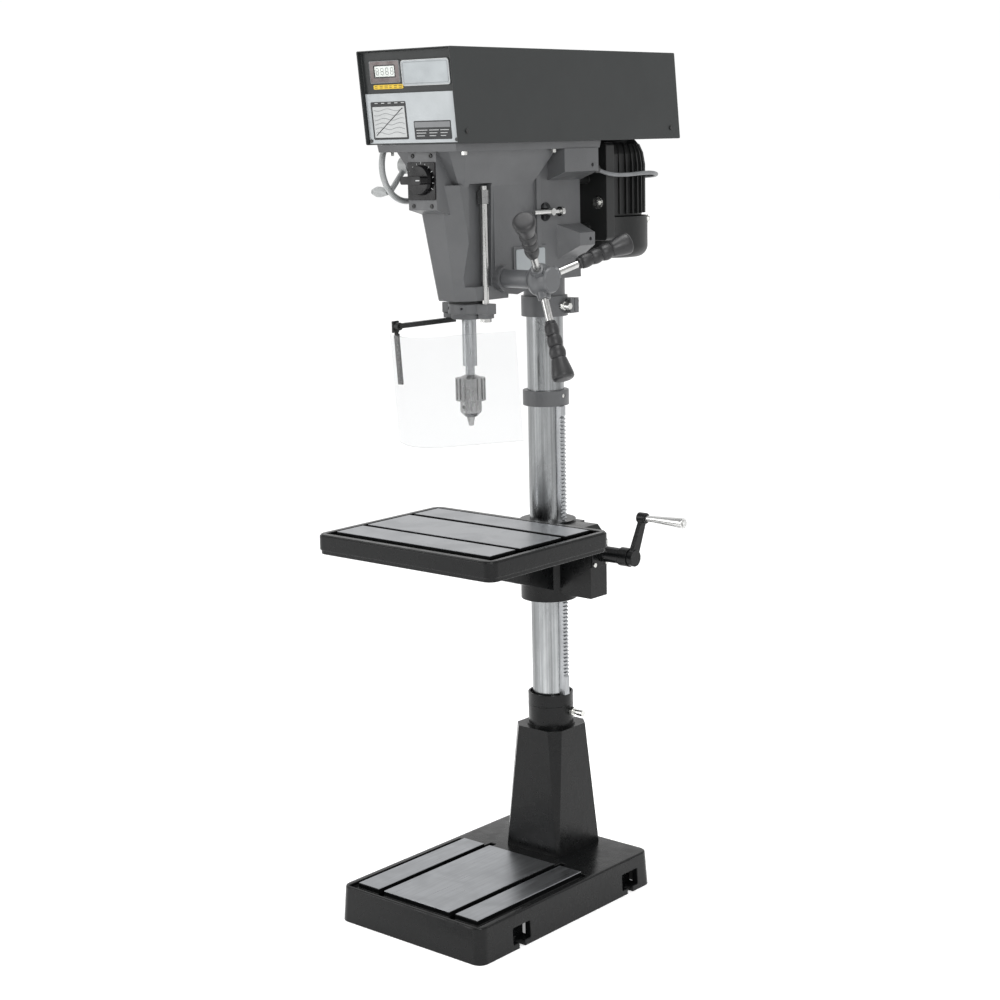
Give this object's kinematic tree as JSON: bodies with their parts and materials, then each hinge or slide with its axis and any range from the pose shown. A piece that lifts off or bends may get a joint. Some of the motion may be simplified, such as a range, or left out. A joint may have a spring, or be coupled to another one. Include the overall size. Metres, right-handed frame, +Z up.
{
  "type": "drill press",
  "caption": "Floor-standing drill press: round column with rack, crank-raised T-slot table, belt-driven head, three-lever quill feed, chuck with clear guard.",
  "frame": {"origin": "centre of the column's axis at floor level", "axes": "+Z up along the column, -Y towards the operator and the spindle, +X towards the feed levers, rack and table crank"},
  "size_m": [0.547, 0.773, 1.72],
  "materials": {
    "black_enamel": "semi-gloss black enamel",
    "hammer_grey": "satin grey enamel on casting",
    "cover_paint": "satin charcoal powder coat",
    "motor_paint": "satin black paint",
    "ground_steel": "ground",
    "polished_steel": "polished",
    "zinc_bolts": "zinc plated",
    "bearing_steel": "ground",
    "hub_iron": "satin grey enamel",
    "grip_plastic": "moulded",
    "bump_rubber": "matte",
    "belt_rubber": "matte",
    "pulley_aluminium": "turned",
    "stator_iron": "laminated",
    "cable_rubber": "satin grey sheath",
    "plate_aluminium": "satin",
    "display_plastic": "glossy",
    "clear_sheet": "clear polycarbonate"
  },
  "bodies": {
    "stand": {"base": "black_enamel", "pedestal": "black_enamel", "stand_bolts": "zinc_bolts", "foot_collar": "black_enamel", "rack_ring": "hammer_grey", "column": "ground_steel", "head_casting": "hammer_grey", "head_bolts": "zinc_bolts", "feed_spring_case": "hammer_grey", "drive_belt": "belt_rubber", "drive_bearings": "bearing_steel", "motor_plate": "motor_paint", "motor_housing": "motor_paint", "fan_cover": "motor_paint", "motor_stator": "stator_iron", "junction_box": "motor_paint", "motor_cable": "cable_rubber", "belt_cover": "cover_paint", "label_plates": "plate_aluminium", "display_unit": "display_plastic", "switch_plate": "grip_plastic"},
    "rack": {"column_rack": "ground_steel"},
    "table_carriage": {"table_bracket": "black_enamel", "gear_cover": "black_enamel", "table_bolts": "zinc_bolts", "table": "black_enamel"},
    "table_crank": {"crank_shaft": "black_enamel", "crank_arm": "black_enamel"},
    "crank_grip": {"crank_handle": "polished_steel"},
    "lift_pinion": {"lift_gear": "ground_steel"},
    "table_clamp": {"table_lock": "ground_steel"},
    "feed_levers": {"feed_shaft": "hub_iron", "feed_hub": "hub_iron", "feed_rods": "ground_steel", "feed_grips": "grip_plastic"},
    "quill_unit": {"quill": "ground_steel", "quill_bearings": "bearing_steel", "bump_ring": "bump_rubber", "quill_collar": "hammer_grey", "depth_rod": "ground_steel", "guard_arm": "motor_paint"},
    "depth_stop": {"depth_nuts": "polished_steel"},
    "spindle_unit": {"spindle": "ground_steel", "chuck_body": "polished_steel"},
    "key_sleeve": {"chuck_sleeve": "polished_steel"},
    "jaw_1": {"chuck_jaw_1": "polished_steel"},
    "jaw_2": {"chuck_jaw_2": "polished_steel"},
    "jaw_3": {"chuck_jaw_3": "polished_steel"},
    "guard": {"guard_bracket": "motor_paint", "chuck_guard": "clear_sheet"},
    "pulley": {"spindle_pulley": "pulley_aluminium"},
    "pulley_half": {"spindle_sheave": "pulley_aluminium"},
    "motor_drive": {"motor_rotor": "ground_steel", "motor_pulley": "pulley_aluminium"},
    "motor_half": {"motor_sheave": "pulley_aluminium"},
    "speed_control": {"speed_shaft": "ground_steel", "speed_wheel": "polished_steel"},
    "speed_grip": {"speed_wheel_knob": "polished_steel"},
    "power_switch": {"switch_knob": "grip_plastic"},
    "belt_lock": {"tension_lock": "ground_steel"}
  },
  "joints": [
    {"name": "table_swing", "type": "hinge", "parent": "stand", "child": "rack", "pos_m": [0, 0, 0.7], "axis": [0, 0, 1], "continuous": true},
    {"name": "crank_turn", "type": "hinge", "parent": "table_carriage", "child": "table_crank", "pos_m": [0.2, 0.007, 0.721], "axis": [1, 0, 0], "range_deg": [-18354.65, 21792.4]},
    {"name": "table_lift", "type": "slide", "parent": "rack", "child": "table_carriage", "axis": [0, 0, -1], "range_m": [-0.16, 0.19]},
    {"name": "lift_gear_turn", "type": "hinge", "parent": "table_carriage", "child": "lift_pinion", "pos_m": [0.06325, 0, 0.6887], "axis": [0, 1, 0], "range_deg": [-611.96, 726.55]},
    {"name": "crank_grip_spin", "type": "hinge", "parent": "table_crank", "child": "crank_grip", "pos_m": [0.27, 0.04278, 0.797], "axis": [1, 0, 0], "continuous": true},
    {"name": "table_clamp_turn", "type": "hinge", "parent": "table_carriage", "child": "table_clamp", "pos_m": [0, 0.058, 0.7], "axis": [1, 0, 0], "range_deg": [-60, 60]},
    {"name": "feed_turn", "type": "hinge", "parent": "stand", "child": "feed_levers", "pos_m": [0.151, -0.195, 1.2895], "axis": [1, 0, 0], "range_deg": [-0.5, 597.33], "stiffness_Nm_per_rad": 0.1, "springref_deg": -1260.51},
    {"name": "quill_slide", "type": "slide", "parent": "stand", "child": "quill_unit", "axis": [0, 0, -1], "range_m": [0, 0.125]},
    {"name": "depth_stop_slide", "type": "slide", "parent": "quill_unit", "child": "depth_stop", "axis": [0, 0, 1], "range_m": [-0.125, 0]},
    {"name": "spindle_pulley_spin", "type": "hinge", "parent": "stand", "child": "pulley", "pos_m": [0, -0.231, 1.6], "axis": [0, 0, -1], "continuous": true},
    {"name": "spindle_spin", "type": "hinge", "parent": "quill_unit", "child": "spindle_unit", "pos_m": [0, -0.231, 1.2], "axis": [0, 0, -1], "continuous": true},
    {"name": "motor_spin", "type": "hinge", "parent": "stand", "child": "motor_drive", "pos_m": [0, 0.215, 1.45], "axis": [0, 0, -1], "continuous": true},
    {"name": "key_sleeve_turn", "type": "hinge", "parent": "spindle_unit", "child": "key_sleeve", "pos_m": [0, -0.231, 1.075], "axis": [0, 0, 1], "range_deg": [-1, 2161]},
    {"name": "jaw_1_slide", "type": "slide", "parent": "spindle_unit", "child": "jaw_1", "axis": [0, 0.2419, 0.9703], "range_m": [0, 0.022]},
    {"name": "jaw_2_slide", "type": "slide", "parent": "spindle_unit", "child": "jaw_2", "axis": [-0.2095, -0.121, 0.9703], "range_m": [-0.00005, 0.02205]},
    {"name": "jaw_3_slide", "type": "slide", "parent": "spindle_unit", "child": "jaw_3", "axis": [0.2095, -0.121, 0.9703], "range_m": [-0.00005, 0.02205]},
    {"name": "guard_flip", "type": "hinge", "parent": "quill_unit", "child": "guard", "pos_m": [-0.044, -0.384, 1.208], "axis": [-1, 0, 0], "range_deg": [0, 100]},
    {"name": "speed_turn", "type": "hinge", "parent": "stand", "child": "speed_control", "pos_m": [-0.13, -0.257, 1.507], "axis": [1, 0, 0], "range_deg": [-0.5, 150.5]},
    {"name": "spindle_half_slide", "type": "slide", "parent": "pulley", "child": "pulley_half", "axis": [0, 0, -1], "range_m": [0, 0.0035]},
    {"name": "motor_half_slide", "type": "slide", "parent": "motor_drive", "child": "motor_half", "axis": [0, 0, -1], "range_m": [-0.00005, 0.00355], "deforming": ["drive_belt"]},
    {"name": "speed_grip_spin", "type": "hinge", "parent": "speed_control", "child": "speed_grip", "pos_m": [-0.155, -0.30493, 1.45737], "axis": [1, 0, 0], "continuous": true},
    {"name": "switch_turn", "type": "hinge", "parent": "stand", "child": "power_switch", "pos_m": [0, -0.37, 1.481], "axis": [0, -1, 0], "range_deg": [0, 90]},
    {"name": "belt_lock_turn", "type": "hinge", "parent": "stand", "child": "belt_lock", "pos_m": [0.06, -0.06, 1.411], "axis": [1, 0, 0], "range_deg": [-45, 45]}
  ],
  "couplings": [
    {"joint": "crank_turn", "follows": "table_lift", "rad_per_m": 2000},
    {"joint": "lift_gear_turn", "follows": "table_lift", "rad_per_m": 66.667},
    {"joint": "feed_turn", "follows": "quill_slide", "rad_per_m": 83.333},
    {"joint": "spindle_spin", "follows": "spindle_pulley_spin", "ratio": 1},
    {"joint": "motor_spin", "follows": "spindle_pulley_spin", "ratio": 1.1739},
    {"joint": "key_sleeve_turn", "follows": "jaw_1_slide", "rad_per_m": 1713.6},
    {"joint": "jaw_2_slide", "follows": "jaw_1_slide", "ratio": 1},
    {"joint": "jaw_3_slide", "follows": "jaw_1_slide", "ratio": 1},
    {"joint": "speed_turn", "follows": "spindle_half_slide", "rad_per_m": 748},
    {"joint": "motor_half_slide", "follows": "spindle_half_slide", "ratio": 1}
  ]
}
